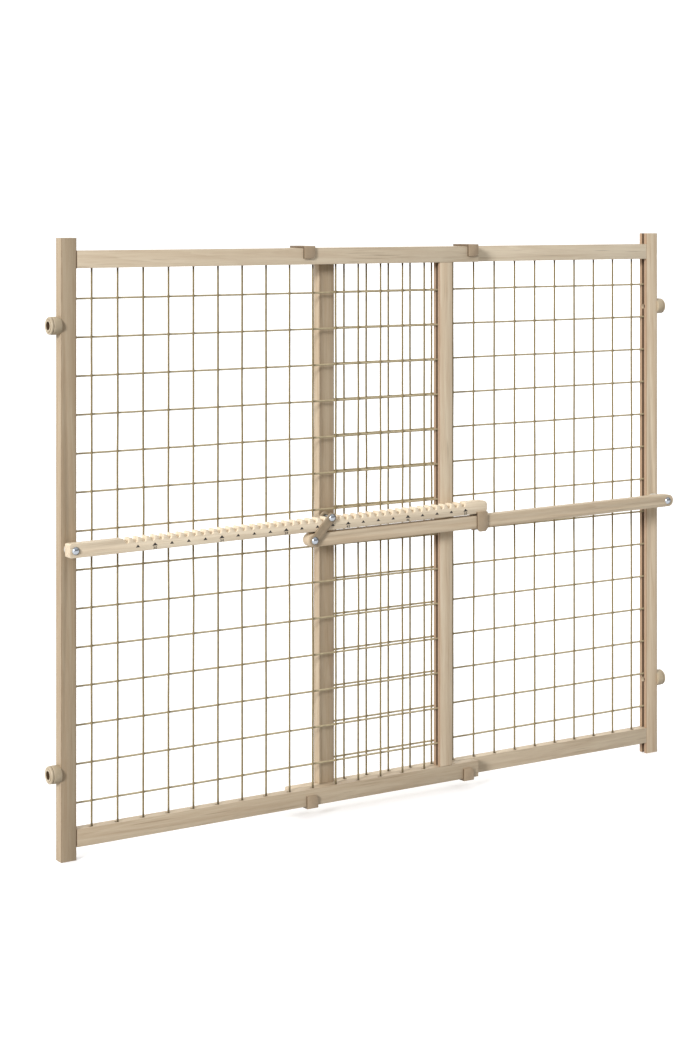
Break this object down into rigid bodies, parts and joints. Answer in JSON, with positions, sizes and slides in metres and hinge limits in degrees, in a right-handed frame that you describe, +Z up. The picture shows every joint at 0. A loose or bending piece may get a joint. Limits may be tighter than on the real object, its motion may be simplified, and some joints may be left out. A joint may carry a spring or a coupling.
{
  "type": "safety gate",
  "caption": "Pressure-fit safety gate: wood-framed wire-mesh panels slide over each other and a notched bar, latch bar and hinged link lock the width.",
  "frame": {"origin": "middle of the gate's box on the floor, at the modelled width, locked", "axes": "+X along the gate from the notched bar's pivot post to the other post, +Y from the lock side to the back, +Z up"},
  "size_m": [1.064, 0.0658, 0.8128],
  "materials": {
    "frame_wood": "satin",
    "bar_wood": "satin",
    "wire": "satin",
    "taupe_plastic": "matte",
    "bumper_rubber": "matte",
    "spacer_plastic": "matte",
    "bright_pins": "polished",
    "steel": "brushed"
  },
  "bodies": {
    "front_panel": {"left_post": "frame_wood", "front_top_rail": "frame_wood", "front_bottom_rail": "frame_wood", "front_stile": "frame_wood", "front_wire_mesh": "wire", "front_top_clip": "taupe_plastic", "front_bottom_clip": "taupe_plastic", "left_top_bumper": "bumper_rubber", "left_bottom_bumper": "bumper_rubber", "front_clip_screws": "steel", "left_pivot_bolt": "bright_pins", "left_pivot_washer": "spacer_plastic", "left_pivot_nut": "steel"},
    "rear_panel": {"right_post": "frame_wood", "rear_top_rail": "frame_wood", "rear_bottom_rail": "frame_wood", "rear_stile": "frame_wood", "rear_wire_mesh": "wire", "rear_top_clip": "taupe_plastic", "rear_bottom_clip": "taupe_plastic", "right_top_bumper": "bumper_rubber", "right_bottom_bumper": "bumper_rubber", "rear_clip_screws": "steel", "right_pivot_bolt": "bright_pins", "right_pivot_spacer": "spacer_plastic", "right_pivot_nut": "steel"},
    "notched_bar": {"notched_bar": "bar_wood", "saddle_bracket": "taupe_plastic", "saddle_screw": "steel"},
    "latch_bar": {"latch_bar": "bar_wood"},
    "link": {"front_link": "taupe_plastic", "rear_link": "taupe_plastic", "notch_rod": "bright_pins", "link_rivet": "bright_pins"}
  },
  "joints": [
    {"name": "panel_slide", "type": "slide", "parent": "front_panel", "child": "rear_panel", "axis": [1, 0, 0], "range_m": [-0.2286, 0.2286]},
    {"name": "notched_bar_lift", "type": "hinge", "parent": "front_panel", "child": "notched_bar", "pos_m": [-0.5055, -0.0187, 0.4076], "axis": [0, -1, 0], "range_deg": [0, 0.5675]},
    {"name": "latch_bar_lift", "type": "hinge", "parent": "rear_panel", "child": "latch_bar", "pos_m": [0.5055, -0.0187, 0.3987], "axis": [0, 1, 0], "range_deg": [0, 0.1181]},
    {"name": "link_swing", "type": "hinge", "parent": "latch_bar", "child": "link", "pos_m": [-0.14194, -0.0187, 0.39079], "axis": [0, -1, 0], "range_deg": [0, 42]}
  ],
  "couplings": [
    {"joint": "notched_bar_lift", "follows": "link_swing", "ratio": 0.0135},
    {"joint": "latch_bar_lift", "follows": "link_swing", "ratio": 0.0028}
  ]
}
